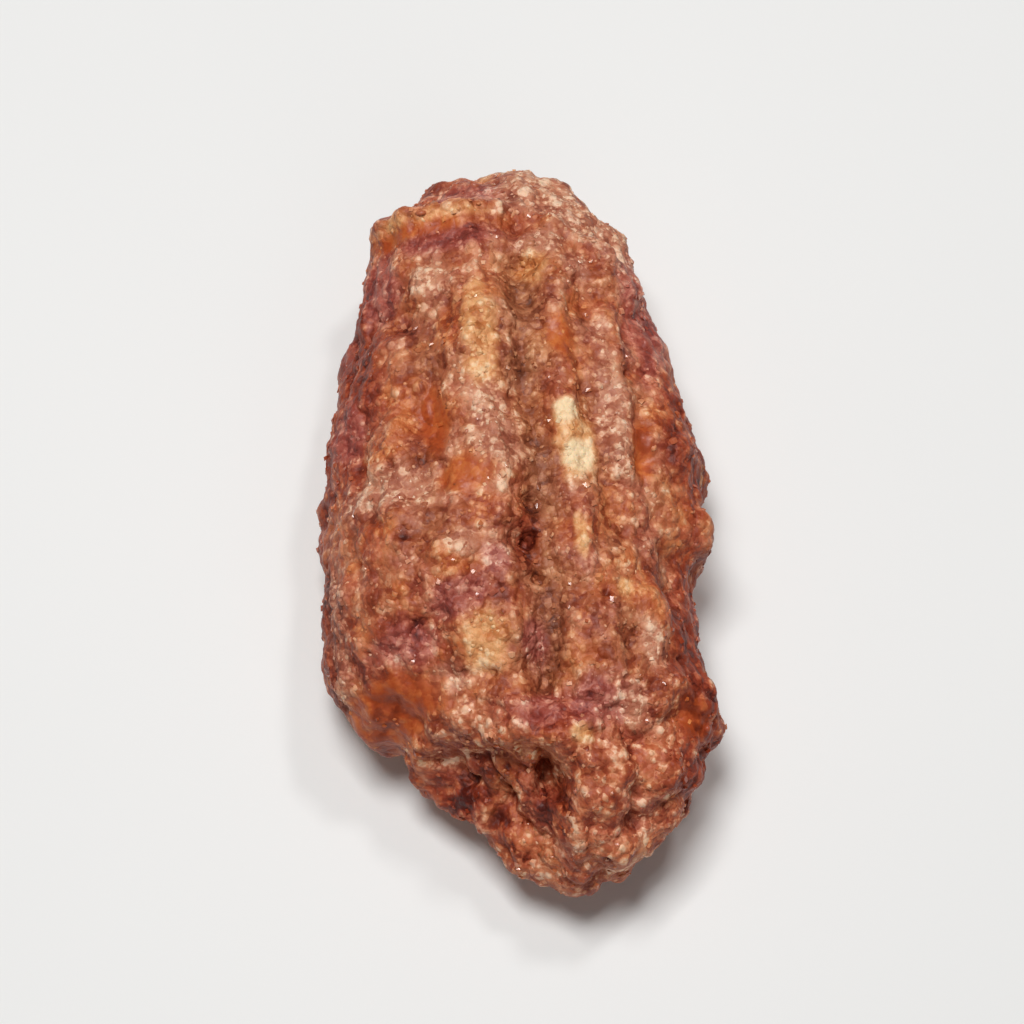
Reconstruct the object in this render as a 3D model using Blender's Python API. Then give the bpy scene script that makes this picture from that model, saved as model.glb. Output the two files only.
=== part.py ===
"""One praline pecan: a pecan half inside a cooked sugar crust, lying on its flat inner face.

The long way of the nut runs along Y with the blunt, broken end at -Y, X runs across it, and Z is up.
The outer face, with its furrows, is on top, and the two lobes of the inner face carry it on the floor.
The origin is on the floor, under the middle of the piece.
"""

import bmesh
import bpy
import numpy as np

MM = 0.001

# Driving dimensions of the piece with its crust, in millimetres.
LENGTH = 40.0
WIDTH = 19.7
CROWN = 8.0  # from the rim, the widest line, up to the top
BELLY = 4.7  # from the rim down to the inner face's lobes, before they are flattened
FLAT = 0.45  # how much of the lobes is flattened where the piece rests

PLAN_POWER = 2.5  # the plan is a superellipse: 2 is an oval, and more is boxier
DOME_POWER = 0.86  # under 1 makes the faces fuller than an ellipsoid's
OUTER_FACE = (-0.12, 0.28)  # height on the ball where the outer face's relief begins, and where it is whole
CUTS = (24, 49, 16)  # cuts in the starting cube's edges along X, Y and Z, for even faces once stretched

# Where the plan leaves the superellipse: clock angle from +X and spread, in degrees, with share of the radius
# between them.
PLAN_BULGES = {
    "left hip": (-158, 0.07, 11),
    "left flank": (166, -0.08, 12),
    "left shoulder": (139, -0.16, 20),
    "step notch": (-137, -0.07, 7),
    "right shoulder": (31, -0.06, 11),
    "right waist": (-19, -0.10, 8),
    "right flank": (4, 0.07, 7),
    "right foot": (-38, 0.06, 6),
    "right toe": (-50, 0.04, 8),
    "broken heel": (-120, -0.15, 20),
}

# Furrows of the outer face: start (x, y), end (x, y), half width and depth.
FURROWS = {
    "main": ((1.8, 12.5), (0.6, -12.8), 1.3, 1.25),
    "left": ((-3.5, 10.0), (-4.2, -4.0), 1.2, 0.7),
    "right": ((4.5, 9.5), (5.0, -11.0), 0.8, 0.60),
    "right rim": ((7.2, 5.0), (7.3, -8.0), 0.55, 0.45),
}
FURROW_FADE = 2.0  # length over which a furrow runs out
FURROW_WANDER = (5.0, 0.45, 41)  # length of a bend, how far it strays, and seed
FURROW_FILL = (3.5, 0.18, 42)  # length of a stretch filled by sugar, share that it fills, and seed

# Pits in the crust of the outer face: centre (x, y), radius and depth.
PITS = {
    "upper": ((1.1, -2.2), 0.5, 0.7),
    "middle": ((0.1, -4.2), 0.6, 0.8),
    "small": ((0.6, -6.5), 0.5, 0.5),
    "foot": ((0.8, -11.6), 0.5, 0.5),
    "lower": ((0.6, -16.4), 1.05, 2.5),
    "heel": ((-1.9, -17.0), 0.6, 0.7),
}

PIT_POWER = 1.6  # 1 is a bell turned over, and more is steeper at the edge and flatter at the bottom

# Knobs of sugar: centre (x, y), radius and height.
KNOBS = {
    "right rim": ((9.6, -3.7), 1.05, 1.4),
    "right foot": ((8.5, -12.2), 1.7, 0.8),
    "heel": ((-4.0, -16.0), 1.4, 0.6),
    "toe": ((2.9, -17.6), 1.4, 0.6),
    "toe side": ((4.8, -16.4), 1.3, 0.5),
    "tip": ((-0.6, -19.2), 1.2, 0.3),
    "shoulder": ((-4.2, 16.0), 1.2, 0.4),
}
RAGGED = (1.4, 0.5, 45)  # size of a bend in the edges of pits and knobs, how far it strays, and seed

# The left lobe breaks off in a step near the blunt end.
STEP_AT = -14.6  # where the step crosses the middle
STEP_SLANT = -0.15  # rise of its line for each millimetre towards +X
STEP_REACH = 1.5  # how far past the middle the step runs, towards +X
STEP_DROP = 2.0
STEP_SLOPE = 1.1

# A thin lip of sugar crosses the pointed end and runs down its right shoulder. The cap beyond it lies lower.
LIP_AT = 15.3
LIP_TURN = 2.3  # where its line turns down the shoulder
LIP_FALL = 0.75  # fall of its line for each millimetre past the turn
LIP_SPAN = (-5.7, 7.2)
LIP_HEIGHT = 0.5
LIP_HALF_WIDTH = 0.45
CAP_DROP = 0.65
CAP_SLOPE = 0.9
CAP_FADE = 4.0  # over what length, around the turn, the drop runs out towards +X

# The inner face has a trough between its two lobes.
TROUGH_HALF_WIDTH = 2.3
TROUGH_HALF_LENGTH = 16.5
TROUGH_DEPTH = 2.6

# The crust's own relief: size of a lump, height and seed, from coarse to fine.
LUMPS = ((6.0, 0.45, 11), (2.8, 0.30, 12))
NODULES = ((2.3, 0.44, 21), (1.5, 0.30, 22))
ROUGH_END = (-12.0, 4.0, 1.3)  # the blunt end's coarser crust: where half grown, over what length, how much
WRINKLE = (1.4, 9.0, 0.30, 31)  # across the nut, along it, height and seed

SWELL_GAIN = 1.6  # brings the smooth noise to about -1 to 1

CRUST_COLOUR = (0.36, 0.115, 0.055, 1.0)
CRUST_ROUGHNESS = 0.42


def hashed(cells, seed):
    """A repeatable number from 0 to 1 for each whole-number cell."""
    x, y, z = np.moveaxis(cells.astype(np.int64).astype(np.uint32), -1, 0)
    mixed = x * np.uint32(374761393) ^ y * np.uint32(668265263) ^ z * np.uint32(2246822519)
    mixed ^= np.uint32((seed * 3266489917) % 2**32)
    for shift, factor in ((15, 2246822519), (13, 3266489917)):
        mixed = (mixed ^ (mixed >> np.uint32(shift))) * np.uint32(factor)
    return (mixed ^ (mixed >> np.uint32(16))) / 2.0**32


def swell(points, size, seed):
    """Smooth noise from about -1 to 1: slopes drawn at whole-number corners, blended by a smooth ease."""
    places = points / size
    corner = np.floor(places)
    part = places - corner
    ease = part**3 * (part * (part * 6 - 15) + 10)
    total = np.zeros(len(points))
    for step in np.ndindex(2, 2, 2):
        cell = corner + step
        slope = np.stack([hashed(cell, seed + k) for k in (1, 2, 3)], -1) * 2 - 1
        share = np.prod(np.where(step, ease, 1 - ease), axis=1)
        total += share * (slope * (part - step)).sum(1)
    return total * SWELL_GAIN


def nodule(points, size, seed):
    """Domes packed side by side, by distance to the nearest drawn point: 1 at each top, 0 in the creases."""
    places = points / size
    home = np.floor(places)
    nearest = np.full(len(points), 9.0)
    for step in np.ndindex(3, 3, 3):
        cell = home + step - 1
        centre = cell + np.stack([hashed(cell, seed + k) for k in (1, 2, 3)], -1)
        nearest = np.minimum(nearest, ((places - centre) ** 2).sum(1))
    return np.clip(1 - nearest, 0, 1)


def smooth(value):
    """0 below 0, 1 above 1, and a smooth S between."""
    value = np.clip(value, 0, 1)
    return value * value * (3 - 2 * value)


def plan_share(angle):
    """How far the plan reaches at a clock angle: the superellipse's radius times its bulges."""
    share = (np.abs(np.cos(angle)) ** PLAN_POWER + np.abs(np.sin(angle)) ** PLAN_POWER) ** (-1 / PLAN_POWER)
    bulge = np.zeros_like(share)
    for at, amount, spread in PLAN_BULGES.values():
        apart = (np.degrees(angle) - at + 180) % 360 - 180
        bulge += amount * np.exp(-((apart / spread) ** 2))
    return share * (1 + bulge)


def bare_half(ball):
    """The smooth half: ball points stretched to the plan, with a high outer dome and a shallow inner one."""
    reach = plan_share(np.arctan2(ball[:, 1], ball[:, 0]))
    height = np.sign(ball[:, 2]) * np.abs(ball[:, 2]) ** DOME_POWER
    depth = np.where(ball[:, 2] > 0, CROWN, BELLY)
    return np.stack([ball[:, 0] * reach * WIDTH / 2, ball[:, 1] * reach * LENGTH / 2, height * depth], -1)


def outward(points):
    """The way out of the smooth half: the normal of the ellipsoid nearest to it."""
    depth = np.where(points[:, 2] > 0, CROWN, BELLY)
    way = np.stack([points[:, 0] / WIDTH**2, points[:, 1] / LENGTH**2, points[:, 2] / (2 * depth) ** 2], -1)
    return way / np.linalg.norm(way, axis=1, keepdims=True)


def drift(y, at, length, seed):
    """Smooth noise along the nut, drawn on a line of its own for each furrow."""
    line = np.stack([np.full_like(y, at), y, np.zeros_like(y)], -1)
    return swell(line, length, seed)


def furrow(x, y, start, end, half_width, depth):
    """How deep a furrow is: a bell across it that wanders off its line, is filled in places and runs out."""
    along = (start[1] - y) / (start[1] - end[1])
    bend_length, stray, bend_seed = FURROW_WANDER
    middle = start[0] + (end[0] - start[0]) * along + stray * drift(y, start[0], bend_length, bend_seed)
    fill_length, filled, fill_seed = FURROW_FILL
    open_share = 1 - filled * (1 + drift(y, start[0], fill_length, fill_seed))
    inside = smooth((start[1] - y) / FURROW_FADE + 0.5) * smooth((y - end[1]) / FURROW_FADE + 0.5)
    return depth * open_share * inside * np.exp(-(((x - middle) / half_width) ** 2))


def mound(x, y, centre, radius, height, power=1.0):
    """A round mound, or a pit, of a bell's shape, or of a steeper one for a higher power."""
    away = (x - centre[0]) ** 2 + (y - centre[1]) ** 2
    return height * np.exp(-((away / radius**2) ** power))


def ragged(x, y):
    """The same places strayed a little, so that what is drawn by them loses its round edge."""
    size, stray, seed = RAGGED
    flat = np.stack([x, y, np.zeros_like(x)], -1)
    return x + stray * swell(flat, size, seed), y + stray * swell(flat, size, seed + 4)


def past_step(x, y):
    """0 above the step and 1 on the broken part below it."""
    step_line = STEP_AT + STEP_SLANT * x
    return smooth((step_line - y) / STEP_SLOPE + 0.5) * smooth((STEP_REACH - x) / STEP_REACH)


def beyond_lip(x, y):
    """How far along the nut a place is beyond the lip's line, or before it where it is less than 0."""
    return y - LIP_AT + LIP_FALL * np.maximum(x - LIP_TURN, 0)


def on_lip(x, y, half_width):
    """1 along the lip's line, and 0 away from it."""
    within = smooth(x - LIP_SPAN[0]) * smooth(LIP_SPAN[1] - x)
    return within * np.exp(-((beyond_lip(x, y) / half_width) ** 2))


def outer_relief(x, y):
    """What the outer face has above or below the smooth dome: furrows, pits, knobs, the step, lip and cap."""
    relief = sum(-furrow(x, y, *sizes) for sizes in FURROWS.values())
    bent_x, bent_y = ragged(x, y)
    relief -= sum(mound(bent_x, bent_y, *sizes, PIT_POWER) for sizes in PITS.values())
    relief += sum(mound(bent_x, bent_y, *sizes) for sizes in KNOBS.values())
    relief -= STEP_DROP * past_step(x, y)
    relief += LIP_HEIGHT * on_lip(x, y, LIP_HALF_WIDTH)
    on_cap = smooth(beyond_lip(x, y) / CAP_SLOPE - 0.5) * smooth((LIP_TURN - x) / CAP_FADE + 0.5)
    return relief - CAP_DROP * on_cap


def inner_relief(x, y):
    """The trough of the inner face, deepest in the middle."""
    across = np.exp(-((x / TROUGH_HALF_WIDTH) ** 2))
    along = np.clip(1 - (y / TROUGH_HALF_LENGTH) ** 2, 0, 1)
    return -TROUGH_DEPTH * across * np.sqrt(along)


def crust_relief(points):
    """The crust's lumps and nodules, and the nut's long wrinkles showing through it."""
    relief = sum(height * swell(points, size, seed) for size, height, seed in LUMPS)
    start, length, more = ROUGH_END
    coarseness = 1 + more * smooth((start - points[:, 1]) / length + 0.5)
    for size, height, seed in NODULES:
        relief += height * coarseness * (nodule(points, size, seed) - 0.5)
    across, along, height, seed = WRINKLE
    return relief + height * swell(points / (across, along, across), 1.0, seed)


def crusted_half(ball):
    """The whole form: the smooth half with its relief pushed outwards, then flattened where it rests."""
    points = bare_half(ball)
    way = outward(points)
    x, y = points[:, 0], points[:, 1]
    begins, whole = OUTER_FACE
    top = smooth((ball[:, 2] - begins) / (whole - begins))
    relief = top * outer_relief(x, y) + (1 - top) * inner_relief(x, y) + crust_relief(points)
    points = points + way * relief[:, None]
    floor = points[:, 2].min() + FLAT
    points[:, 2] = np.maximum(points[:, 2], floor) - floor
    return points


def middle_of(points):
    """The point of the floor under the middle of the box round the points."""
    return (points.min(0) + points.max(0)) / 2 * (1, 1, 0)


def ball_cage():
    """A cube cut into rows along each axis, which has no pole when it is blown up to a ball."""
    cage = bmesh.new()
    bmesh.ops.create_cube(cage, size=2.0)
    for axis, cuts in enumerate(CUTS):
        lengthwise = [e for e in cage.edges if abs(e.verts[0].co[axis] - e.verts[1].co[axis]) > 1]
        bmesh.ops.subdivide_edges(cage, edges=lengthwise, cuts=cuts, use_grid_fill=True)
    bmesh.ops.triangulate(cage, faces=cage.faces[:])
    mesh = bpy.data.meshes.new("praline_pecan")
    cage.to_mesh(mesh)
    cage.free()
    return mesh


def blown_up(cube):
    """Cube points moved onto the unit ball, evened out by a tangent so that the squares stay alike."""
    even = np.tan(cube * np.pi / 4)
    return even / np.linalg.norm(even, axis=1, keepdims=True)


def crust_material():
    """Cooked sugar over a pecan: red brown, with a dull gloss."""
    material = bpy.data.materials.new("sugar_crust")
    material.use_nodes = True
    shader = material.node_tree.nodes["Principled BSDF"]
    shader.inputs["Base Color"].default_value = CRUST_COLOUR
    shader.inputs["Roughness"].default_value = CRUST_ROUGHNESS
    shader.inputs["Metallic"].default_value = 0.0
    material.diffuse_color = CRUST_COLOUR
    return material


def make_pecan(collection):
    """The one solid, shaped from the ball."""
    mesh = ball_cage()
    cube = np.empty(len(mesh.vertices) * 3, np.float32)
    mesh.vertices.foreach_get("co", cube)
    points = crusted_half(blown_up(cube.reshape(-1, 3).astype(float)))
    points = (points - middle_of(points)) * MM
    mesh.vertices.foreach_set("co", points.astype(np.float32).ravel())
    mesh.update()
    mesh.shade_smooth()
    mesh.materials.append(crust_material())
    pecan = bpy.data.objects.new("praline_pecan", mesh)
    collection.objects.link(pecan)
    return pecan


def main():
    for obj in list(bpy.data.objects):
        bpy.data.objects.remove(obj, do_unlink=True)
    collection = bpy.data.collections.new("praline_pecan_parts")
    bpy.context.scene.collection.children.link(collection)
    make_pecan(collection)


main()
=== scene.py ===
"""The looks of one praline pecan: the crust's skin, the sugar grains on it, and a plain pale studio.

Sizes are in millimetres and are turned to metres where a mesh is made. The long way of the nut runs along Y
with the blunt, broken end at -Y, X runs across it, and Z is up out of the furrowed outer face.
"""

import math

import bpy
import numpy as np
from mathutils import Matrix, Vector


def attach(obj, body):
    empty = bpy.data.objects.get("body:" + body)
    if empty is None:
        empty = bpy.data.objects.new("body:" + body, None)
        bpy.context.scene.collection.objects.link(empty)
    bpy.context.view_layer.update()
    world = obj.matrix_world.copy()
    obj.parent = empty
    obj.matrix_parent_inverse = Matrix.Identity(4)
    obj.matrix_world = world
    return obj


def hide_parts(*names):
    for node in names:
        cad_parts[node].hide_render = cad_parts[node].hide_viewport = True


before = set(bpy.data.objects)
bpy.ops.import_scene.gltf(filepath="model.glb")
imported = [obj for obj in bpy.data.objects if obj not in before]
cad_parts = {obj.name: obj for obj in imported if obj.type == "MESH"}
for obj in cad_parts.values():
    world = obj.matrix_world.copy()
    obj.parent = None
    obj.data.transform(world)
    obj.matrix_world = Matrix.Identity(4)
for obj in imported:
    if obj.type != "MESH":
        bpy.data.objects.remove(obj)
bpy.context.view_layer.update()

MM = 0.001
NODE = "praline_pecan"

# Driving dimensions of the piece with its crust.
LENGTH = 40.0
WIDTH = 19.7
CROWN = 8.0  # from the rim, the widest line, up to the top
BELLY = 4.7  # from the rim down to the inner face's lobes, before they are flattened
FLAT = 0.45  # how much of the lobes is flattened where the piece rests

PLAN_POWER = 2.5  # the plan is a superellipse: 2 is an oval, and more is boxier
DOME_POWER = 0.86  # under 1 makes the faces fuller than an ellipsoid's
OUTER_FACE = (-0.12, 0.28)  # height on the ball where the outer face's relief begins, and where it is whole
ROWS = (108, 217, 73)  # squares along the starting cube's edges: 0.14 mm each once stretched

# Where the plan leaves the superellipse: clock angle from +X in degrees, share of the radius, and spread in
# degrees.
PLAN_BULGES = {
    "left hip": (-158, 0.07, 11),
    "left flank": (166, -0.08, 12),
    "left shoulder": (139, -0.16, 20),
    "step notch": (-137, -0.07, 7),
    "right shoulder": (31, -0.06, 11),
    "right waist": (-19, -0.10, 8),
    "right flank": (4, 0.07, 7),
    "right foot": (-38, 0.06, 6),
    "right toe": (-50, 0.04, 8),
    "broken heel": (-120, -0.15, 20),
}

# Furrows of the outer face: start (x, y), end (x, y), half width and depth.
FURROWS = {
    "main": ((1.8, 12.5), (0.6, -12.8), 1.3, 1.25),
    "left": ((-3.5, 10.0), (-4.2, -4.0), 1.2, 0.7),
    "right": ((4.5, 9.5), (5.0, -11.0), 0.8, 0.60),
    "right rim": ((7.2, 5.0), (7.3, -8.0), 0.55, 0.45),
}
FURROW_FADE = 2.0  # length over which a furrow runs out
FURROW_WANDER = (5.0, 0.45, 41)  # length of a bend, how far it strays, and seed
FURROW_FILL = (3.5, 0.18, 42)  # length of a stretch filled by sugar, share that it fills, and seed

# Pits in the crust of the outer face: centre (x, y), radius and depth.
PITS = {
    "upper": ((1.1, -2.2), 0.5, 0.7),
    "middle": ((0.1, -4.2), 0.6, 0.8),
    "small": ((0.6, -6.5), 0.5, 0.5),
    "foot": ((0.8, -11.6), 0.5, 0.5),
    "lower": ((0.6, -16.4), 1.05, 2.5),
    "heel": ((-1.9, -17.0), 0.6, 0.7),
}

PIT_POWER = 1.6  # 1 is a bell turned over, and more is steeper at the edge and flatter at the bottom

# Knobs of sugar: centre (x, y), radius and height.
KNOBS = {
    "right rim": ((9.6, -3.7), 1.05, 1.4),
    "right foot": ((8.5, -12.2), 1.7, 0.8),
    "heel": ((-4.0, -16.0), 1.4, 0.6),
    "toe": ((2.9, -17.6), 1.4, 0.6),
    "toe side": ((4.8, -16.4), 1.3, 0.5),
    "tip": ((-0.6, -19.2), 1.2, 0.3),
    "shoulder": ((-4.2, 16.0), 1.2, 0.4),
}
RAGGED = (1.4, 0.5, 45)  # size of a bend in the edges of pits and knobs, how far it strays, and seed

# The left lobe breaks off in a step near the blunt end.
STEP_AT = -14.6  # where the step crosses the middle
STEP_SLANT = -0.15  # rise of its line for each millimetre towards +X
STEP_REACH = 1.5  # how far past the middle the step runs, towards +X
STEP_DROP = 2.0
STEP_SLOPE = 1.1
PIT_SHADE_FALL = 0.3  # how far a pit's painted shade sits below its middle
UNDER_STEP = 1.1  # how dark the painted shadow just below the step is, as a furrow's depth would make it
STEP_SHADE = 2.0  # how far below the step, and over what length towards the middle, that painted shadow runs out

# A thin lip of sugar crosses the pointed end and runs down its right shoulder. The cap beyond it lies lower.
LIP_AT = 15.3
LIP_TURN = 2.3  # where its line turns down the shoulder
LIP_FALL = 0.75  # fall of its line for each millimetre past the turn
LIP_SPAN = (-5.7, 7.2)
LIP_HEIGHT = 0.5
LIP_HALF_WIDTH = 0.45
CAP_DROP = 0.65
CAP_SLOPE = 0.9
CAP_FADE = 4.0  # over what length, around the turn, the drop runs out towards +X

LIP_LINE = 0.35  # half width of the paler line along the lip
CAP_MAUVE = 0.4  # how mauve the cap is

# The inner face has a trough between its two lobes.
TROUGH_HALF_WIDTH = 2.3
TROUGH_HALF_LENGTH = 16.5
TROUGH_DEPTH = 2.6

# The crust's own relief: size of a lump, height and seed, from coarse to fine.
LUMPS = ((6.0, 0.45, 11), (2.8, 0.30, 12))
NODULES = ((2.3, 0.44, 21), (1.5, 0.30, 22))
ROUGH_END = (-12.0, 4.0, 1.3)  # the blunt end's coarser crust: where half grown, over what length, how much
WRINKLE = (1.4, 9.0, 0.30, 31)  # across the nut, along it, height and seed
SWELL_GAIN = 1.6  # brings the smooth noise to about -1 to 1

# The skin's own fine relief, which the solid leaves out: size of a grain, height and seed.
FINE_NODULES = ((1.1, 0.17, 51), (0.70, 0.14, 55), (0.45, 0.10, 59))
SKIN_SINK = 0.07  # how far the fine relief as a whole is set in, to keep within the solid
FINE_LUMPS = (1.1, 0.07, 63)  # the smooth lumps under them
COARSER = 0.4  # how much higher the grains are at the blunt end
STREAKS = (0.8, 6.0, 0.13, 83)  # fine ridges along the nut: across, along, height and seed
STREAKS_LOST = 0.8  # share of their height that the blunt end goes without
PORES = (2.4, 0.32, 0.25, 67)  # spacing, radius, depth and seed of the small holes in the crust
GLASSY_SMOOTH = 0.7  # share of the grains and pores that glassy sugar fills

# Patches of the outer face, by the sugar's kind: centre (x, y), half length along X and along Y.
SPOTS = {
    "glassy": {
        "left strip": ((-3.5, 2.8), (0.8, 2.1)),
        "left strip foot": ((-2.4, -0.6), (1.4, 1.0)),
        "left hip": ((-7.0, -11.2), (2.6, 1.4)),
        "upper ridge": ((3.4, 7.0), (0.7, 1.3)),
        "below the lip": ((-3.0, 14.7), (2.4, 0.5)),
        "right flank": ((7.0, 0.4), (0.6, 1.6)),
        "right foot": ((7.9, -13.2), (0.8, 1.3)),
    },
    "golden": {
        "upper ridge": ((-0.8, 7.4), (1.0, 3.5)),
        "furrow's head": ((2.4, 11.6), (0.9, 0.9)),
        "lower ridge": ((-2.1, -9.2), (1.2, 1.7)),
        # Partly paler sugar and partly painted light, lifting the shade on the pit's upper rim.
        "above the pit": ((2.1, -14.4), (0.6, 0.5)),
        "right ridge": ((3.2, -4.4), (0.38, 1.3)),
        "round the flecks": ((3.5, 1.0), (1.0, 2.5)),
        "right fleck": ((5.2, -7.0), (0.45, 0.50)),
    },
    "frosted": {
        "cap": ((2.6, 16.6), (2.4, 1.0)),
        "upper left": ((-2.9, 11.1), (1.2, 1.9)),
        "upper right": ((3.2, 13.0), (1.6, 0.9)),
        "right shoulder": ((4.7, 11.6), (0.9, 1.0)),
        "inner ridge": ((-0.7, 1.8), (1.4, 3.6)),
        "left lobe": ((-6.0, -0.6), (2.4, 1.4)),
        "left lobe's crest": ((-2.8, -4.4), (0.8, 0.8)),
        "left lobe's inner edge": ((-1.1, -5.0), (0.8, 0.9)),
        "furrow's foot": ((0.4, -9.8), (0.7, 1.3)),
        "above the hip": ((-4.4, -10.6), (1.4, 0.9)),
        "left edge": ((-9.5, -6.8), (0.6, 4.2)),
        "right ridge": ((5.6, 3.0), (0.8, 5.0)),
        "right edge": ((6.2, -9.9), (0.6, 1.3)),
        "right foot": ((4.7, -12.9), (0.9, 1.1)),
    },
    "mauve": {
        "cap": ((-0.6, 17.2), (2.0, 1.2)),
        "below the lip": ((-1.6, 13.6), (2.8, 0.8)),
        "left shoulder": ((-5.7, 11.8), (1.1, 2.4)),
        "left flank": ((-8.0, 3.6), (1.0, 1.8)),
        "right shoulder": ((8.1, 8.7), (1.4, 4.2)),
        "left lobe": ((-3.1, -7.0), (1.7, 1.1)),
        "left hollow": ((-6.0, -8.7), (1.8, 1.2)),
        "left lobe's inner edge": ((-1.2, -5.3), (0.8, 0.8)),
        "furrow": ((0.3, -9.4), (0.7, 1.0)),
        "step": ((0.2, -13.0), (1.6, 0.9)),
        "foot": ((2.9, -12.8), (1.6, 1.2)),
    },
    # Painted shade: these named dark patches stand in for the shade at the edges, in hollows, below the lip,
    # under the step and round the pits; the ones drawn all round are darker sugar.
    "burnt": {
        "left edge": ((-7.8, 8.5), (2.0, 7.0)),
        "left lobe's edge": ((-10.2, -7.0), (1.2, 4.8)),
        "right flank": ((9.6, 1.0), (1.4, 4.0)),
        "right edge": ((8.8, -8.8), (1.7, 5.0)),
        "below the lip": ((-2.2, 13.8), (2.6, 0.6)),
        "left hollow": ((-6.2, -8.0), (1.4, 1.0)),
        "toe's right edge": ((8.2, -15.8), (1.7, 2.3)),
        "under the step": ((-4.2, -15.6), (1.8, 0.8)),
        "left hip": ((-7.5, -11.2), (0.9, 0.9)),
        "left flank": ((-8.9, 2.5), (1.3, 3.0)),
        "above the pit": ((1.4, -13.0), (1.2, 1.1)),
        "furrow's middle": ((0.5, -4.2), (0.7, 1.8)),
    },
    "cream": {
        "upper fleck": ((3.2, 2.45), (0.64, 0.85)),
        "lower fleck": ((3.45, 0.0), (0.80, 0.95)),
    },
}
SPOT_EDGES = {"glassy": 0.45, "golden": 0.50, "frosted": 0.60, "mauve": 0.60, "burnt": 0.70, "cream": 0.35}
# What tears the edges of those patches: size, strength and step of the seed, of the noise and of the packed
# grains, and how high those grains are on the whole.
SPOT_TEARS = ((1.5, 0.18, 0), (0.6, 0.12, 4))
SPOT_GRAINS = (0.5, 0.10, 8)
GRAIN_MIDDLING = 0.6
SPOT_LEVEL = 0.42  # how high the bell round a patch's centre, 1 in the middle, still is at its edge
# The same kinds in patches drawn all round, thinner on the outer face: their size, how rare, and how strong.
STREWN = {
    "glassy": (4.0, 0.60, 0.7),
    "golden": (3.6, 0.50, 0.8),
    "frosted": (4.5, 0.30, 0.8),
    "mauve": (4.0, 0.45, 0.7),
    "burnt": (7.0, 0.30, 0.6),
}
THIN_ON_TOP = 0.75  # share of the drawn patches that the outer face goes without
THIN_AT_END = 0.6  # and the blunt end
STREWN_TEAR = (3, 0.35, 4)  # how much finer the noise at their edges is, its strength and its seed's step
STREWN_EDGE = 0.22  # how far over its level the noise is where such a patch is whole
FIRST_SPOT_SEED = 71
SPOT_SEED_STEP = 10  # from one kind of sugar to the next
STREWN_SEED_STEP = 2  # from a kind's named patches to its drawn ones

# From what height over the floor, and over what length, things of the outer face begin to show.
SPOTS_FROM = (3.0, 1.5)
TOP_FROM = (3.0, 2.0)
THIN_FROM = (5.0, 4.0)
RIM_FROM = (1.5, 2.0)
RIM_FADE = 2.0  # over what length towards +X the cap's frosted rim grows
RIM_EDGE = 0.6  # and over what length across the lip's line
FURROW_SHADE = 1.2  # depth at which a furrow's painted shade is at its darkest
PIT_SHADE = 2.0  # and a pit's, with the painted shadow under the step

# Grains of sugar on the skin: how many are tried, spacing, middling width, how unlike they are, share of the
# half width that is under the skin, share that stays, and how each kind of patch changes that share.
GRAINS = {
    "sugar_lumps": (4000, 0.62, 0.62, 0.25, 0.78, 0.35, {"glassy": -0.35}),
    "sugar_grains": (12000, 0.36, 0.40, 0.28, 0.74, 0.40, {"glassy": -0.30, "frosted": 0.20}),
    "sugar_frost": (14000, 0.26, 0.26, 0.30, 0.66, 0.22, {"glassy": -0.20, "frosted": 0.35, "cream": 0.3}),
    "sugar_crystals": (7000, 0.36, 0.17, 0.20, 0.40, 0.28, {"glassy": -0.22}),
}
# Their looks: how much paler than the crust, how unlike in tone, and how rough.
GRAIN_LOOKS = {
    "sugar_lumps": (0.00, 0.30, 0.40),
    "sugar_grains": (0.06, 0.36, 0.40),
    "sugar_frost": (0.18, 0.30, 0.45),
    "sugar_crystals": (0.15, 0.30, 0.16),
}
GRAIN_FLATNESS = 0.5  # share of a grain's height that is pressed out of it
GRAIN_SIDES = (0.7, 1.25)  # least and greatest of a grain's three widths, as a share of its own
GRAIN_DENT = 0.30  # how far a grain's corners are pushed in or out
GRAIN_CLEAR = 0.02  # the least height of a grain over the floor
FIRST_GRAIN_SEED = 101

CAMERA = {"azimuth": -6.0, "elevation": 68.0, "distance": 150.0, "lens": 100.0}
CAMERA_TARGET = (0, 0, 5.5)
CAMERA_NEAREST = 1.0
# The lamps: place, side of the square, and power in watts.
LAMPS = {
    "key": ((-40, 50, 345), 120, 0.96),
    "sparkle": ((110, 120, 300), 40, 0.18),
    "fill": ((60, -260, 200), 260, 0.13),
}
ROOM_COLOUR = (1.0, 0.95, 0.90, 1.0)
ROOM_LIGHT = 0.07
FLOOR_REACH = 3000.0  # from its middle to each side
FLOOR_COLOUR = (0.80, 0.80, 0.79)
FLOOR_GRAIN = (40.0, 1.03)  # size of its mottling, and how much paler that makes it


def hashed(cells, seed):
    """A repeatable number from 0 to 1 for each whole-number cell."""
    x, y, z = np.moveaxis(cells.astype(np.int64).astype(np.uint32), -1, 0)
    mixed = x * np.uint32(374761393) ^ y * np.uint32(668265263) ^ z * np.uint32(2246822519)
    mixed ^= np.uint32((seed * 3266489917) % 2**32)
    for shift, factor in ((15, 2246822519), (13, 3266489917)):
        mixed = (mixed ^ (mixed >> np.uint32(shift))) * np.uint32(factor)
    return (mixed ^ (mixed >> np.uint32(16))) / 2.0**32


def swell(points, size, seed):
    """Smooth noise from about -1 to 1: slopes drawn at whole-number corners, blended by a smooth ease."""
    places = points / size
    corner = np.floor(places)
    part = places - corner
    ease = part**3 * (part * (part * 6 - 15) + 10)
    total = np.zeros(len(points))
    for step in np.ndindex(2, 2, 2):
        cell = corner + step
        slope = np.stack([hashed(cell, seed + k) for k in (1, 2, 3)], -1) * 2 - 1
        share = np.prod(np.where(step, ease, 1 - ease), axis=1)
        total += share * (slope * (part - step)).sum(1)
    return total * SWELL_GAIN


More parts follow.
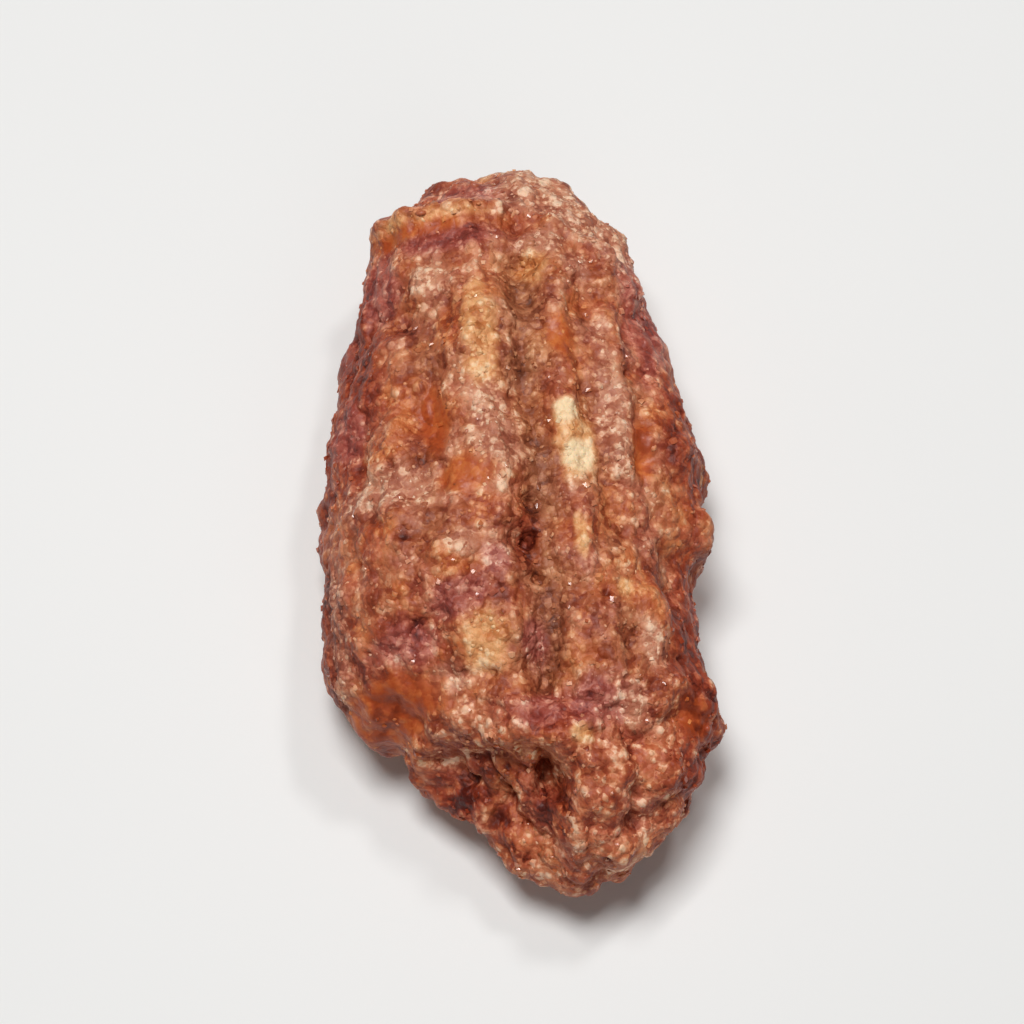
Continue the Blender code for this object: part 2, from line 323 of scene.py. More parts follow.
def nodule(points, size, seed):
    """Domes packed side by side, by distance to the nearest drawn point: 1 at each top, 0 in the creases."""
    places = points / size
    home = np.floor(places)
    nearest = np.full(len(points), 9.0)
    for step in np.ndindex(3, 3, 3):
        cell = home + step - 1
        centre = cell + np.stack([hashed(cell, seed + k) for k in (1, 2, 3)], -1)
        nearest = np.minimum(nearest, ((places - centre) ** 2).sum(1))
    return np.clip(1 - nearest, 0, 1)


def smooth(value):
    """0 below 0, 1 above 1, and a smooth S between."""
    value = np.clip(value, 0, 1)
    return value * value * (3 - 2 * value)


def plan_share(angle):
    """How far the plan reaches at a clock angle: the superellipse's radius times its bulges."""
    share = (np.abs(np.cos(angle)) ** PLAN_POWER + np.abs(np.sin(angle)) ** PLAN_POWER) ** (-1 / PLAN_POWER)
    bulge = np.zeros_like(share)
    for at, amount, spread in PLAN_BULGES.values():
        apart = (np.degrees(angle) - at + 180) % 360 - 180
        bulge += amount * np.exp(-((apart / spread) ** 2))
    return share * (1 + bulge)


def bare_half(ball):
    """The smooth half: ball points stretched to the plan, with a high outer dome and a shallow inner one."""
    reach = plan_share(np.arctan2(ball[:, 1], ball[:, 0]))
    height = np.sign(ball[:, 2]) * np.abs(ball[:, 2]) ** DOME_POWER
    depth = np.where(ball[:, 2] > 0, CROWN, BELLY)
    return np.stack([ball[:, 0] * reach * WIDTH / 2, ball[:, 1] * reach * LENGTH / 2, height * depth], -1)


def outward(points):
    """The way out of the smooth half: the normal of the ellipsoid nearest to it."""
    depth = np.where(points[:, 2] > 0, CROWN, BELLY)
    way = np.stack([points[:, 0] / WIDTH**2, points[:, 1] / LENGTH**2, points[:, 2] / (2 * depth) ** 2], -1)
    return way / np.linalg.norm(way, axis=1, keepdims=True)


def drift(y, at, length, seed):
    """Smooth noise along the nut, drawn on a line of its own for each furrow."""
    line = np.stack([np.full_like(y, at), y, np.zeros_like(y)], -1)
    return swell(line, length, seed)


def furrow(x, y, start, end, half_width, depth):
    """How deep a furrow is: a bell across it that wanders off its line, is filled in places and runs out."""
    along = (start[1] - y) / (start[1] - end[1])
    bend_length, stray, bend_seed = FURROW_WANDER
    middle = start[0] + (end[0] - start[0]) * along + stray * drift(y, start[0], bend_length, bend_seed)
    fill_length, filled, fill_seed = FURROW_FILL
    open_share = 1 - filled * (1 + drift(y, start[0], fill_length, fill_seed))
    inside = smooth((start[1] - y) / FURROW_FADE + 0.5) * smooth((y - end[1]) / FURROW_FADE + 0.5)
    return depth * open_share * inside * np.exp(-(((x - middle) / half_width) ** 2))


def mound(x, y, centre, radius, height, power=1.0):
    """A round mound, or a pit, of a bell's shape, or of a steeper one for a higher power."""
    away = (x - centre[0]) ** 2 + (y - centre[1]) ** 2
    return height * np.exp(-((away / radius**2) ** power))


def ragged(x, y):
    """The same places strayed a little, so that what is drawn by them loses its round edge."""
    size, stray, seed = RAGGED
    flat = np.stack([x, y, np.zeros_like(x)], -1)
    return x + stray * swell(flat, size, seed), y + stray * swell(flat, size, seed + 4)


def past_step(x, y):
    """0 above the step and 1 on the broken part below it."""
    step_line = STEP_AT + STEP_SLANT * x
    return smooth((step_line - y) / STEP_SLOPE + 0.5) * smooth((STEP_REACH - x) / STEP_REACH)


def beyond_lip(x, y):
    """How far along the nut a place is beyond the lip's line, or before it where it is less than 0."""
    return y - LIP_AT + LIP_FALL * np.maximum(x - LIP_TURN, 0)


def on_lip(x, y, half_width):
    """1 along the lip's line, and 0 away from it."""
    within = smooth(x - LIP_SPAN[0]) * smooth(LIP_SPAN[1] - x)
    return within * np.exp(-((beyond_lip(x, y) / half_width) ** 2))


def outer_relief(x, y):
    """What the outer face has above or below the smooth dome: furrows, pits, knobs, the step, lip and cap."""
    relief = sum(-furrow(x, y, *sizes) for sizes in FURROWS.values())
    bent_x, bent_y = ragged(x, y)
    relief -= sum(mound(bent_x, bent_y, *sizes, PIT_POWER) for sizes in PITS.values())
    relief += sum(mound(bent_x, bent_y, *sizes) for sizes in KNOBS.values())
    relief -= STEP_DROP * past_step(x, y)
    relief += LIP_HEIGHT * on_lip(x, y, LIP_HALF_WIDTH)
    on_cap = smooth(beyond_lip(x, y) / CAP_SLOPE - 0.5) * smooth((LIP_TURN - x) / CAP_FADE + 0.5)
    return relief - CAP_DROP * on_cap


def inner_relief(x, y):
    """The trough of the inner face, deepest in the middle."""
    across = np.exp(-((x / TROUGH_HALF_WIDTH) ** 2))
    along = np.clip(1 - (y / TROUGH_HALF_LENGTH) ** 2, 0, 1)
    return -TROUGH_DEPTH * across * np.sqrt(along)


def crust_relief(points):
    """The crust's lumps and nodules, and the nut's long wrinkles showing through it."""
    relief = sum(height * swell(points, size, seed) for size, height, seed in LUMPS)
    start, length, more = ROUGH_END
    coarseness = 1 + more * smooth((start - points[:, 1]) / length + 0.5)
    for size, height, seed in NODULES:
        relief += height * coarseness * (nodule(points, size, seed) - 0.5)
    across, along, height, seed = WRINKLE
    return relief + height * swell(points / (across, along, across), 1.0, seed)


def crusted_half(ball):
    """The solid's own form: the smooth half with its relief pushed outwards, flattened where it rests."""
    points = bare_half(ball)
    way = outward(points)
    x, y = points[:, 0], points[:, 1]
    begins, whole = OUTER_FACE
    top = smooth((ball[:, 2] - begins) / (whole - begins))
    relief = top * outer_relief(x, y) + (1 - top) * inner_relief(x, y) + crust_relief(points)
    points = points + way * relief[:, None]
    floor = points[:, 2].min() + FLAT
    points[:, 2] = np.maximum(points[:, 2], floor) - floor
    return points


def middle_of(points):
    """The point of the floor under the middle of the box round the points."""
    return (points.min(0) + points.max(0)) / 2 * (1, 1, 0)


def ball_grid():
    """Six grids over a cube's faces, welded at their edges and blown up to a unit ball: points and quads."""
    width = max(ROWS) + 1
    sheets = []
    for axis in range(3):
        first, second = (axis + 1) % 3, (axis + 2) % 3
        s, t = np.meshgrid(np.arange(ROWS[first] + 1), np.arange(ROWS[second] + 1), indexing="ij")
        for side in (0, ROWS[axis]):
            code = side * width**axis + s * width**first + t * width**second
            quads = np.stack([code[:-1, :-1], code[1:, :-1], code[1:, 1:], code[:-1, 1:]], -1).reshape(-1, 4)
            sheets.append(quads if side else quads[:, ::-1])
    codes, quads = np.unique(np.concatenate(sheets), return_inverse=True)
    cube = np.stack([codes // width**axis % width / ROWS[axis] for axis in range(3)], -1) * 2 - 1
    even = np.tan(cube * np.pi / 4)
    return even / np.linalg.norm(even, axis=1, keepdims=True), quads.reshape(-1, 4)


def above(points, start, length):
    """0 up to a height over the floor, and 1 from a length above that."""
    return smooth((points[:, 2] - start) / length)


def patches(points, spots, edge, seed):
    """0 to 1 over named patches of the outer face: a bell round each centre, its edge torn by noise."""
    x, y = points[:, 0], points[:, 1]
    near = np.zeros(len(points))
    for (cx, cy), (rx, ry) in spots.values():
        near = np.maximum(near, np.exp(-(((x - cx) / rx) ** 2) - ((y - cy) / ry) ** 2))
    for size, strength, step in SPOT_TEARS:
        near += strength * swell(points, size, seed + step)
    size, strength, step = SPOT_GRAINS
    near += strength * (nodule(points, size, seed + step) - GRAIN_MIDDLING)
    return smooth((near - SPOT_LEVEL) / edge + 0.5) * above(points, *SPOTS_FROM)


def strewn(points, size, rarity, seed):
    """0 to 1 over patches drawn all round the piece: smooth noise above a level."""
    finer, strength, step = STREWN_TEAR
    torn = swell(points, size, seed) + strength * swell(points, size / finer, seed + step)
    return smooth((torn - rarity) / STREWN_EDGE)


def marks(points):
    """How much of each kind of sugar lies at each point, 0 to 1, and how deep it lies in a furrow, in a pit
    and under the step, for painted shade.
    """
    x, y = points[:, 0], points[:, 1]
    bent_x, bent_y = ragged(x, y)
    start, length, _ = ROUGH_END
    on = {"coarse": smooth((start - y) / length + 0.5)}
    thin = (1 - THIN_ON_TOP * above(points, *THIN_FROM)) * (1 - THIN_AT_END * on["coarse"])
    for k, (kind, spots) in enumerate(SPOTS.items()):
        seed = FIRST_SPOT_SEED + SPOT_SEED_STEP * k
        on[kind] = patches(points, spots, SPOT_EDGES[kind], seed)
        if kind in STREWN:
            size, rarity, strength = STREWN[kind]
            drawn = thin * strength * strewn(points, size, rarity, seed + STREWN_SEED_STEP)
            on[kind] = np.maximum(on[kind], drawn)
    top = above(points, *TOP_FROM)
    line = top * on_lip(bent_x, bent_y, LIP_LINE)
    beyond = beyond_lip(bent_x, bent_y)
    rim = above(points, *RIM_FROM) * smooth(x / RIM_FADE) * smooth(beyond / RIM_EDGE + 0.5)
    on["golden"] = np.maximum(on["golden"], line * smooth(1 - x))
    on["frosted"] = np.maximum(on["frosted"], np.maximum(line * smooth(x), rim))
    on["mauve"] = np.maximum(on["mauve"], CAP_MAUVE * top * smooth(beyond) * (1 - rim))
    # Painted shade: the furrows, the pits and the shadow below the step darken the sugar's tone through these
    # marks.
    furrowed = sum(furrow(x, y, *sizes) for sizes in FURROWS.values())
    on["furrowed"] = top * smooth(furrowed / FURROW_SHADE)
    # A pit's painted shade sits below its middle, towards its far wall.
    sunk = sum(mound(bent_x, bent_y + PIT_SHADE_FALL, *sizes, PIT_POWER) for sizes in PITS.values())
    below = np.exp(-np.maximum(STEP_AT - y, 0) / STEP_SHADE) * smooth(-x / STEP_SHADE)
    sunk += UNDER_STEP * past_step(x, y) * below
    on["sunk"] = top * smooth(sunk / PIT_SHADE)
    return on


def fine_relief(points, on):
    """The skin's grains, streaks and pores, less on glassy sugar. Also 0 in creases to 1 on crests."""
    grain = sum(height * (nodule(points, size, seed) - 0.5) for size, height, seed in FINE_NODULES)
    size, height, seed = FINE_LUMPS
    grain += height * swell(points, size, seed)
    grain *= 1 + COARSER * on["coarse"]
    across, along, height, seed = STREAKS
    streak = height * swell(points / (across, along, across), 1.0, seed)
    streak *= 1 - STREAKS_LOST * on["coarse"]
    spacing, radius, depth, seed = PORES
    opening = (radius / spacing) ** 2
    hole = np.clip((nodule(points, spacing, seed) - 1 + opening) / opening, 0, 1)
    relief = (grain - depth * hole) * (1 - GLASSY_SMOOTH * on["glassy"]) + streak - SKIN_SINK
    height = sum(height for _, height, _ in FINE_NODULES)
    return relief, np.clip(0.5 + (grain + streak) / height - hole, 0, 1)


def normals_of(points, quads):
    """Each point's way out: its quads' normals, from their diagonals, added up and made one long."""
    a, b, c, d = (points[quads[:, k]] for k in range(4))
    face = np.cross(c - a, d - b)
    corners = quads.ravel()
    total = np.stack([np.bincount(corners, np.repeat(face[:, k], 4), len(points)) for k in range(3)], -1)
    return total / np.linalg.norm(total, axis=1, keepdims=True)


def piece(name, points, faces, finish, marks_on, is_smooth):
    """Puts arrays into a mesh, in metres, that rides on the body, and hides the imported crust part."""
    mesh = bpy.data.meshes.new(name)
    mesh.vertices.add(len(points))
    mesh.vertices.foreach_set("co", (points * MM).astype(np.float32).ravel())
    mesh.loops.add(faces.size)
    mesh.loops.foreach_set("vertex_index", faces.astype(np.int32).ravel())
    mesh.polygons.add(len(faces))
    mesh.polygons.foreach_set("loop_start", np.arange(0, faces.size, faces.shape[1], dtype=np.int32))
    mesh.update(calc_edges=True)
    for mark, values in marks_on.items():
        mesh.attributes.new(mark, "FLOAT", "POINT").data.foreach_set("value", values.astype(np.float32))
    if is_smooth:
        mesh.shade_smooth()
    else:
        mesh.shade_flat()
    mesh.materials.append(finish)
    obj = bpy.data.objects.new(name, mesh)
    bpy.context.scene.collection.objects.link(obj)
    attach(obj, "root")
    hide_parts(NODE)


class Link:
    """A shader socket in an expression: each operator adds one step of sums."""

    def __init__(self, finish, socket):
        self.finish = finish
        self.socket = socket

    def __add__(self, other):
        return self.finish.maths("ADD", self, other)

    def __sub__(self, other):
        return self.finish.maths("SUBTRACT", self, other)

    def __rsub__(self, other):
        return self.finish.maths("SUBTRACT", other, self)

    def __mul__(self, other):
        return self.finish.maths("MULTIPLY", self, other)

    __radd__ = __add__
    __rmul__ = __mul__


class Finish:
    """A material in the making: its node tree, its shader and the links between them."""

    def __init__(self, name):
        self.material = bpy.data.materials.new(name)
        self.material.use_nodes = True
        self.tree = self.material.node_tree
        self.shader = self.tree.nodes["Principled BSDF"]
        place = self.node("ShaderNodeTexCoord", {}, {}, "Object")
        self.place = self.node("ShaderNodeVectorMath", {"operation": "SCALE"}, {0: place, "Scale": 1 / MM})

    def put(self, socket, value):
        """A link goes in as a link, and a number or a colour as the socket's value."""
        if isinstance(value, Link):
            self.tree.links.new(value.socket, socket)
        elif isinstance(value, tuple) and len(value) == 3 and len(socket.default_value) == 4:
            socket.default_value = (*value, 1.0)
        else:
            socket.default_value = value

    def node(self, kind, settings, inputs, output=0):
        """Any node: its type, its settings or a ramp's stops, its sockets' values, and which output."""
        node = self.tree.nodes.new(kind)
        for name, value in settings.items():
            if name == "stops":
                self.stop(node.color_ramp.elements, value)
            else:
                setattr(node, name, value)
        for key, value in inputs.items():
            self.put(node.inputs[key], value)
        return Link(self, node.outputs[output])

    def stop(self, elements, stops):
        """Places a ramp's stops: each is a position and a colour."""
        while len(elements) < len(stops):
            elements.new(1.0)
        for element, (position, colour) in zip(elements, stops):
            element.position = position
            element.color = (*colour, 1.0)

    def maths(self, operation, a, b):
        """One step of sums on two values."""
        return self.node("ShaderNodeMath", {"operation": operation}, {0: a, 1: b})

    def mix(self, share, a, b):
        """Colour a where share is 0 and b where it is 1."""
        return self.node("ShaderNodeMix", {"data_type": "RGBA"}, {0: share, 6: a, 7: b}, 2)

    def mark(self, name):
        """A mesh's own value, point by point."""
        return self.node("ShaderNodeAttribute", {"attribute_name": name}, {}, "Fac")

    def noise(self, size, detail=2.0, roughness=0.5, place=None):
        """Smooth noise with lumps of about that size, around 0.5."""
        place = place or self.place
        sockets = {"Vector": place, "Scale": 1 / size, "Detail": detail, "Roughness": roughness}
        return self.node("ShaderNodeTexNoise", {}, sockets)

    def cells(self, size):
        """Packed cells of about that size: the distance from each middle, and a number drawn for each."""
        sockets = {"Vector": self.place, "Scale": 1 / size}
        away = self.node("ShaderNodeTexVoronoi", {}, sockets, "Distance")
        colour = Link(self, away.socket.node.outputs["Color"])
        return away, self.node("ShaderNodeSeparateColor", {}, {"Color": colour}, "Red")

    def run(self, value, low, high):
        """Runs smoothly from 0 to 1 while value goes from low to high, and stays there beyond."""
        sockets = {"Value": value, "From Min": low, "From Max": high}
        return self.node("ShaderNodeMapRange", {"interpolation_type": "SMOOTHSTEP"}, sockets)

    def ramp(self, value, stops):
        """A colour by value, along stops of position and colour."""
        return self.node("ShaderNodeValToRGB", {"stops": stops}, {"Fac": value})

    def set(self, **values):
        """Shader sockets by name, with _ for a space."""
        for name, value in values.items():
            self.put(self.shader.inputs[name.replace("_", " ")], value)

    def bump(self, height, distance, strength=1.0):
        """Raises the surface by height times a distance in millimetres."""
        sockets = {"Height": height, "Distance": distance * MM, "Strength": strength}
        self.put(self.shader.inputs["Normal"], self.node("ShaderNodeBump", {}, sockets))


# Cooked sugar from its dark creases to its pale crests, in linear light, by tone.
SUGAR_TONES = (
    (0.00, (0.075, 0.010, 0.004)),
    (0.25, (0.230, 0.038, 0.013)),
    (0.50, (0.430, 0.121, 0.050)),
    (0.70, (0.580, 0.218, 0.104)),
    (0.85, (0.735, 0.350, 0.202)),
    (1.00, (0.860, 0.525, 0.345)),
)
# Dark sugar tones, also used as painted shade at the edges and in hollows.
BURNT_AND_SHADE_TONES = (
    (0.00, (0.090, 0.008, 0.003)),
    (0.35, (0.290, 0.040, 0.015)),
    (0.60, (0.480, 0.108, 0.046)),
    (0.80, (0.660, 0.250, 0.130)),
    (1.00, (0.860, 0.520, 0.340)),
)
FROST_TONES = (
    (0.00, (0.090, 0.020, 0.011)),
    (0.35, (0.310, 0.083, 0.044)),
    (0.60, (0.500, 0.195, 0.115)),
    (0.80, (0.700, 0.380, 0.245)),
    (1.00, (0.870, 0.590, 0.415)),
)
AMBER_TONES = (
    (0.00, (0.140, 0.014, 0.003)),
    (0.35, (0.420, 0.070, 0.014)),
    (0.60, (0.600, 0.158, 0.036)),
    (0.80, (0.770, 0.280, 0.085)),
    (1.00, (0.880, 0.500, 0.240)),
)
OLIVE_TONES = (
    (0.00, (0.060, 0.014, 0.006)),
    (0.35, (0.270, 0.090, 0.038)),
    (0.60, (0.450, 0.188, 0.090)),
    (0.80, (0.650, 0.345, 0.190)),
    (1.00, (0.860, 0.590, 0.390)),
)
GOLD_TONES = (
    (0.00, (0.160, 0.028, 0.007)),
    (0.35, (0.560, 0.190, 0.056)),
    (0.65, (0.810, 0.410, 0.170)),
    (1.00, (0.950, 0.640, 0.370)),
)
ROSE_TONES = (
    (0.00, (0.080, 0.010, 0.009)),
    (0.35, (0.310, 0.060, 0.046)),
    (0.60, (0.480, 0.150, 0.115)),
    (0.80, (0.700, 0.320, 0.240)),
    (1.00, (0.900, 0.580, 0.440)),
)
CREAM_TONES = (
    (0.00, (0.500, 0.200, 0.075)),
    (0.40, (0.740, 0.430, 0.210)),
    (1.00, (0.930, 0.700, 0.430)),
)

# Tones that lie over the brown sugar in patches of noise: size, where they begin and are whole, strength.
DRAWN_COATS = (
    (2.4, 0.42, 0.60, 0.60, AMBER_TONES),
    (1.9, 0.46, 0.60, 0.30, ROSE_TONES),
)
# Tones that lie over those, from first to last: how strongly each kind of sugar brings them. The furrows'
# tones are painted shade, and the dark patches' tones are painted shade at the edges and in hollows and
# darker sugar elsewhere.
COATS = (
    ({"furrowed": 0.75}, OLIVE_TONES),
    ({"burnt": 0.80, "coarse": 0.45}, BURNT_AND_SHADE_TONES),
    ({"frosted": 0.80}, FROST_TONES),
    ({"mauve": 0.75}, ROSE_TONES),
    ({"golden": 0.85}, GOLD_TONES),
    ({"glassy": 0.85}, AMBER_TONES),
    ({"cream": 1.0}, CREAM_TONES),
)
# How much paler each kind of sugar is than the rest, or darker where it is less than 0. The darkening in
# pits, under the step and in furrows is painted shade, and so is that of the dark patches at the edges and in
# hollows.
PALER = {
    "cream": 0.30,
    "golden": 0.12,
    "frosted": 0.11,
    "sunk": -0.38,
    "furrowed": -0.14,
    "burnt": -0.20,
    "glassy": -0.03,
}
TONE_PATCHES = (2.6, 0.4)  # size and strength
TONE_MOTTLES = (0.9, 0.42, 0.58, 0.14)  # size, where they begin and are whole, strength
TONE_STREAKS = (0.8, 0.16, 0.4)  # width, its share of their length, strength

# The pale cells below make specks that are partly frost and partly painted glints of the sugar crystals.
# The cells of sugar in the skin, coarse and fine: size, drawn numbers between which a cell turns pale, how
# much paler it is, how unlike the cells are in tone, and how high they stand.
CELLS = (
    (0.60, 0.64, 0.74, 0.22, 0.15, 0.14),
    (0.32, 0.68, 0.78, 0.18, 0.12, 0.09),
)
CELL_FADE = (0.30, 0.55)  # away from a cell's middle, where its paleness begins to fade and is gone
VEINS = (0.9, 0.01, 0.045, 0.12)  # size of their bends, half width where whole and where gone, how much paler
GRIT = (0.15, 0.04)  # size and height of the finest grit
SPECKLE = (0.9, {"frosted": 0.5, "coarse": 0.4, "sunk": -0.6})  # share of the pale specks, which are partly frost and partly painted glints, and what kinds add
CREST_TONE = (0.38, {"coarse": 0.25})  # how much paler crests are than creases, and what kinds add: partly painted shade in the creases, partly paler sugar on the crests
SKIN_DARKER = (0.11, {"coarse": 0.08})  # how much darker the skin is than its grains, and what kinds add
GLASSY_EVEN = 0.6  # share of the specks and of the grit that glassy sugar goes without
GLOW = {"Subsurface_Radius": (1.0, 0.6, 0.4), "Subsurface_Scale": 0.2 * MM}  # light spreads in the sugar


def weighed(finish, strengths):
    """The marks of some kinds of sugar, each times its strength, added up."""
    first, *others = (finish.mark(kind) * strength for kind, strength in strengths.items())
    return sum(others, first)


def sugar_colour(finish, tone):
    """The crust's colour for a tone: brown sugar, then the drawn patches, then each kind's own tones."""
    colour = finish.ramp(tone, SUGAR_TONES)
    for size, begins, whole, strength, tones in DRAWN_COATS:
        drawn = finish.run(finish.noise(size), begins, whole) * strength
        colour = finish.mix(drawn, colour, finish.ramp(tone, tones))
    for strengths, tones in COATS:
        colour = finish.mix(weighed(finish, strengths), colour, finish.ramp(tone, tones))
    return colour


def sugar_tone(finish):
    """How pale the sugar is, around 0.5: patches, mottles, streaks along the nut, and what each kind adds."""
    size, strength = TONE_PATCHES
    patch = (finish.noise(size) - 0.5) * strength
    size, begins, whole, strength = TONE_MOTTLES
    mottle = (finish.run(finish.noise(size, 3.0, 0.6), begins, whole) - 0.5) * strength
    size, slimness, strength = TONE_STREAKS
    sockets = {0: finish.place, 1: (1.0, slimness, 1.0)}
    stretched = finish.node("ShaderNodeVectorMath", {"operation": "MULTIPLY"}, sockets)
    streak = (finish.noise(size, 1.0, place=stretched) - 0.5) * strength
    return 0.5 + patch + mottle + streak + weighed(finish, PALER)


def skin_finish():
    """Cooked sugar: tones by patch, crease and crest, with painted shade in creases, furrows and pits, pale
    specks that are partly frost and partly painted glints, and a gloss that the grain breaks up.
    """
    finish = Finish("crust_skin")
    crest, glassy, frosted = finish.mark("crest"), finish.mark("glassy"), finish.mark("frosted")
    size, whole, gone, paler = VEINS
    vein = 1 - finish.run(finish.maths("ABSOLUTE", finish.noise(size, 3.0) - 0.5, 0.0), whole, gone)
    size, height = GRIT
    specks, own, rough = vein * paler, 0.0, finish.noise(size, 2.0, 0.6) * height
    for size, begins, whole, paler, spread, height in CELLS:
        away, drawn = finish.cells(size)
        specks += finish.run(drawn, begins, whole) * (1 - finish.run(away, *CELL_FADE)) * paler
        own += (drawn - 0.5) * spread
        rough -= away * height
    share, by_kind = SPECKLE
    specks *= share + weighed(finish, by_kind)
    contrast, by_kind = CREST_TONE
    # Creases darker than crests: partly painted shade, partly the paler sugar on the crests.
    grain = (crest - 0.5) * (contrast + weighed(finish, by_kind)) + own
    darker, by_kind = SKIN_DARKER
    matt = 1 - glassy * GLASSY_EVEN
    tone = sugar_tone(finish) + (grain + specks) * matt - weighed(finish, by_kind) - darker
    finish.set(Base_Color=sugar_colour(finish, tone), Roughness=0.48 + frosted * 0.10 - glassy * 0.06)
    finish.set(Specular_IOR_Level=0.24, Coat_Weight=0.06 + glassy * 0.08, Coat_Roughness=0.24)
    finish.set(Subsurface_Weight=0.25, **GLOW)
    finish.bump(rough * matt, 1.0)
    return finish.material


def grain_finish(name, paler, spread, roughness):
    """Grains: the tone of the crust that they sit on, each made paler or darker by its own drawn tone."""
    finish = Finish(name)
    tone = sugar_tone(finish) + paler + (finish.mark("tone") - 0.5) * spread
    finish.set(Base_Color=sugar_colour(finish, tone), Roughness=roughness, Specular_IOR_Level=0.45)
    finish.set(Subsurface_Weight=0.2, **GLOW)
    return finish.material


def turned(count, rng):
    """Random turns, as matrices, from random quaternions."""
    drawn = rng.normal(size=(4, count))
    w, x, y, z = drawn / np.linalg.norm(drawn, axis=0)
    rows = (
        (1 - 2 * (y * y + z * z), 2 * (x * y - w * z), 2 * (x * z + w * y)),
        (2 * (x * y + w * z), 1 - 2 * (x * x + z * z), 2 * (y * z - w * x)),
        (2 * (x * z - w * y), 2 * (y * z + w * x), 1 - 2 * (x * x + y * y)),
    )
    return np.moveaxis(np.array(rows), -1, 0)


def lump_grid():
    """A ball of two rings and two poles: 12 points and 20 faces."""
    around = np.radians(np.arange(5) * 72)
    half_turn = math.radians(36)
    rise = math.atan(0.5)
    upper = np.stack([np.cos(around), np.sin(around)], -1) * math.cos(rise)
    upper = np.column_stack([upper, np.full(5, math.sin(rise))])
    lower = np.stack([np.cos(around + half_turn), np.sin(around + half_turn)], -1) * math.cos(rise)
    lower = np.column_stack([lower, np.full(5, -math.sin(rise))])
    points = np.vstack([upper, lower, (0, 0, 1), (0, 0, -1)])
    faces = []
    for k in range(5):
        after = (k + 1) % 5
        faces += [(k, after, 10), (k, 5 + k, after), (after, 5 + k, 5 + after), (5 + after, 5 + k, 11)]
    return points, np.array(faces)


def crystal_grid():
    """A box of eight corners and 12 triangles."""
    points = np.array(list(np.ndindex(2, 2, 2))) * 2.0 - 1
    quads = np.array([(0, 1, 3, 2), (4, 6, 7, 5), (0, 4, 5, 1), (2, 3, 7, 6), (0, 2, 6, 4), (1, 5, 7, 3)])
    return points, np.vstack([quads[:, (0, 1, 2)], quads[:, (0, 2, 3)]])


def scattered(skin, quads, on, count, spacing, rng):
    """Random places on the skin, at most one for each spacing, with the way out and the marks there."""
    a, b, c, d = (skin[quads[:, k]] for k in range(4))
    face = np.cross(c - a, d - b) / 2
    area = np.linalg.norm(face, axis=1)
    chosen = rng.choice(len(quads), count, p=area / area.sum())
    s, t = rng.random((2, count))
    shares = np.stack([(1 - t) * (1 - s), (1 - t) * s, t * s, t * (1 - s)], -1)
    places = (skin[quads[chosen]] * shares[..., None]).sum(1)
    cells = np.floor(places / spacing).astype(int)
    _, first = np.unique(cells, axis=0, return_index=True)
    there = {mark: (values[quads[chosen]] * shares).sum(1)[first] for mark, values in on.items()}
    return places[first], (face / area[:, None])[chosen][first], there


def grains(name, kind, finish, skin, quads, on, sizes, seed, is_smooth):
    """Grains of one kind as one mesh: the kind's grid again and again, dented, turned and set down."""
    tried, spacing, width, spread, sunk, share, changes = sizes
    rng = np.random.default_rng(seed)
    places, outs, there = scattered(skin, quads, on, tried, spacing, rng)
    chance = (share + sum(change * there[mark] for mark, change in changes.items())) * (1 - there["sunk"])
    stays = (rng.random(len(places)) < chance) & (places[:, 2] > width)
    places, outs = places[stays], outs[stays]
    count = len(places)
    shape, faces = kind()
    half = width / 2 * np.exp(rng.normal(0, spread, (count, 1, 1)))
    sides = half * rng.uniform(*GRAIN_SIDES, (count, 1, 3))
    corners = shape * (1 + rng.uniform(-GRAIN_DENT, GRAIN_DENT, (count, len(shape), 1))) * sides
    corners = np.einsum("nij,nkj->nki", turned(count, rng), corners)
    corners -= outs[:, None] * (corners * outs[:, None]).sum(2, keepdims=True) * GRAIN_FLATNESS
    corners += (places + outs * half[:, 0] * (1 - 2 * sunk))[:, None]
    corners[..., 2] = np.maximum(corners[..., 2], GRAIN_CLEAR)
    every = (faces[None] + np.arange(count)[:, None, None] * len(shape)).reshape(-1, 3)
    marks_on = {mark: np.repeat(values[stays], len(shape)) for mark, values in there.items()}
    marks_on["tone"] = np.repeat(rng.random(count), len(shape))
    piece(name, corners.reshape(-1, 3), every, finish, marks_on, is_smooth)


def make_skin():
    """The crust's skin: the solid's form on a finer grid, with grains and pores raised out of it."""
    ball, quads = ball_grid()
    form = crusted_half(ball)
    on = marks(form)
    relief, crest = fine_relief(form, on)
    skin = form + normals_of(form, quads) * relief[:, None] - middle_of(form)
    skin[:, 2] = np.maximum(skin[:, 2], 0)
    piece("crust_skin", skin, quads, skin_finish(), {**on, "crest": crest}, True)
    return skin, quads, on


def make_grains(skin, quads, on):
    """Sugar on the skin, coarse lumps first and fine crystals last."""
    for k, (name, sizes) in enumerate(GRAINS.items()):
        is_smooth = name != "sugar_crystals"
        kind = lump_grid if is_smooth else crystal_grid
        finish = grain_finish(name, *GRAIN_LOOKS[name])
        grains(name, kind, finish, skin, quads, on, sizes, FIRST_GRAIN_SEED + k, is_smooth)


def floor_finish():
    """A pale, matt ground with a faint mottling."""
    finish = Finish("floor")
    size, paler = FLOOR_GRAIN
    lighter = tuple(part * paler for part in FLOOR_COLOUR)
    finish.set(Base_Color=finish.mix(finish.noise(size), FLOOR_COLOUR, lighter), Roughness=0.6)
    return finish.material


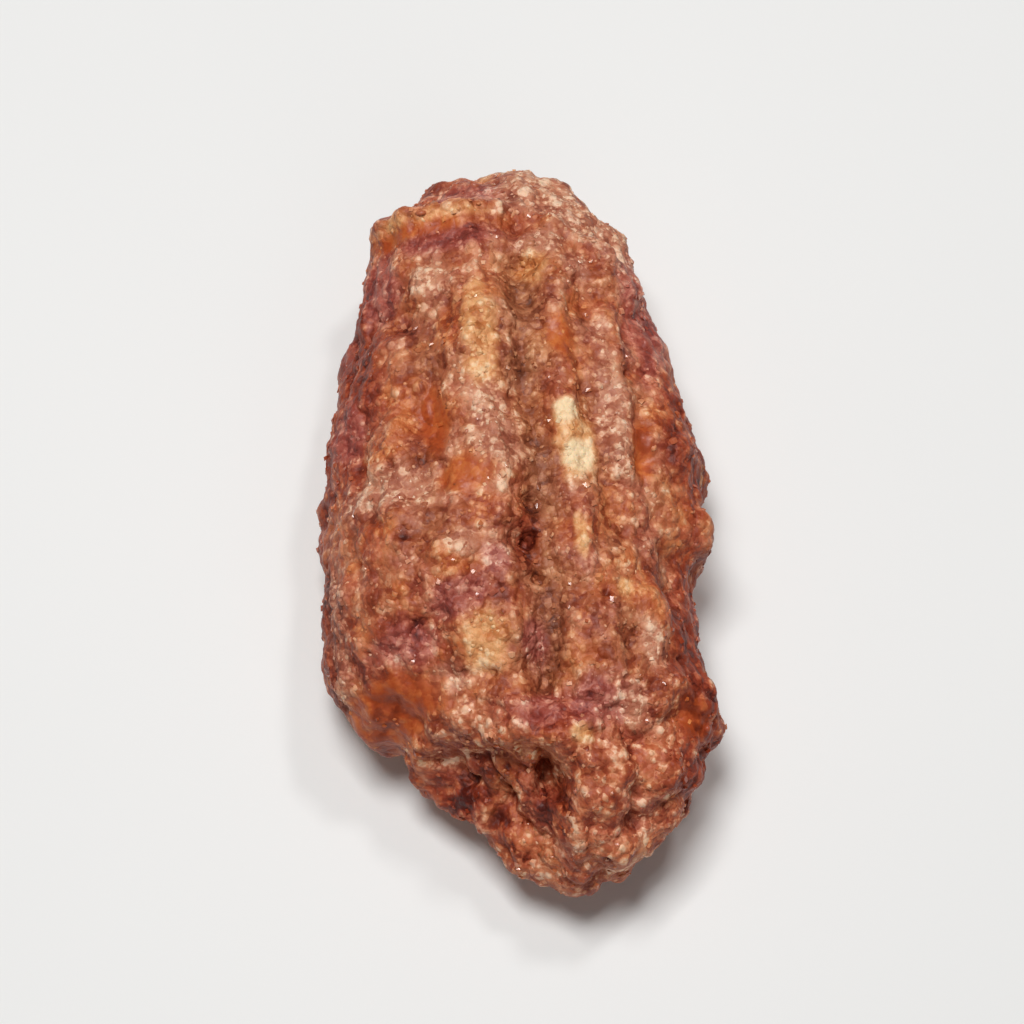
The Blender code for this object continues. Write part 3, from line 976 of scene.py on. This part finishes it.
def make_floor():
    """A pale floor, wide enough to fill every view."""
    mesh = bpy.data.meshes.new("floor")
    reach = FLOOR_REACH * MM
    corners = [(-reach, -reach, 0), (reach, -reach, 0), (reach, reach, 0), (-reach, reach, 0)]
    mesh.from_pydata(corners, [], [(0, 1, 2, 3)])
    mesh.materials.append(floor_finish())
    floor = bpy.data.objects.new("floor", mesh)
    bpy.context.scene.collection.objects.link(floor)


def aimed(obj, target):
    """Turns an object so that it looks at a point."""
    way = Vector(target) - obj.location
    obj.rotation_euler = way.to_track_quat("-Z", "Y").to_euler()


def make_lamp(name, place, side, power):
    """A square soft lamp that looks at the piece."""
    light = bpy.data.lights.new(name, "AREA")
    light.size = side * MM
    light.energy = power
    lamp = bpy.data.objects.new(name, light)
    lamp.location = Vector(place) * MM
    bpy.context.scene.collection.objects.link(lamp)
    aimed(lamp, (0, 0, 0))


def make_studio():
    """A soft lamp above and behind, a small one for sparkle, a fill from the front, and a warm white room."""
    for name, (place, side, power) in LAMPS.items():
        make_lamp(name, place, side, power)
    world = bpy.data.worlds.new("room")
    bpy.context.scene.world = world
    world.use_nodes = True
    background = world.node_tree.nodes["Background"]
    background.inputs["Color"].default_value = ROOM_COLOUR
    background.inputs["Strength"].default_value = ROOM_LIGHT


def make_camera():
    """Looks down on the outer face, with the blunt end nearer, as the photograph does."""
    side, up = math.radians(CAMERA["azimuth"]), math.radians(CAMERA["elevation"])
    back = Vector((math.sin(side) * math.cos(up), -math.cos(side) * math.cos(up), math.sin(up)))
    target = Vector(CAMERA_TARGET) * MM
    camera = bpy.data.objects.new("camera", bpy.data.cameras.new("camera"))
    camera.data.lens = CAMERA["lens"]
    camera.data.clip_start = CAMERA_NEAREST * MM
    camera.location = target + back * CAMERA["distance"] * MM
    aimed(camera, target)
    bpy.context.scene.collection.objects.link(camera)
    bpy.context.scene.camera = camera


def main():
    """The camera, the nut with its grains, and the studio."""
    make_camera()
    make_grains(*make_skin())
    make_floor()
    make_studio()
    bpy.context.scene.view_settings.view_transform = "Standard"


main()
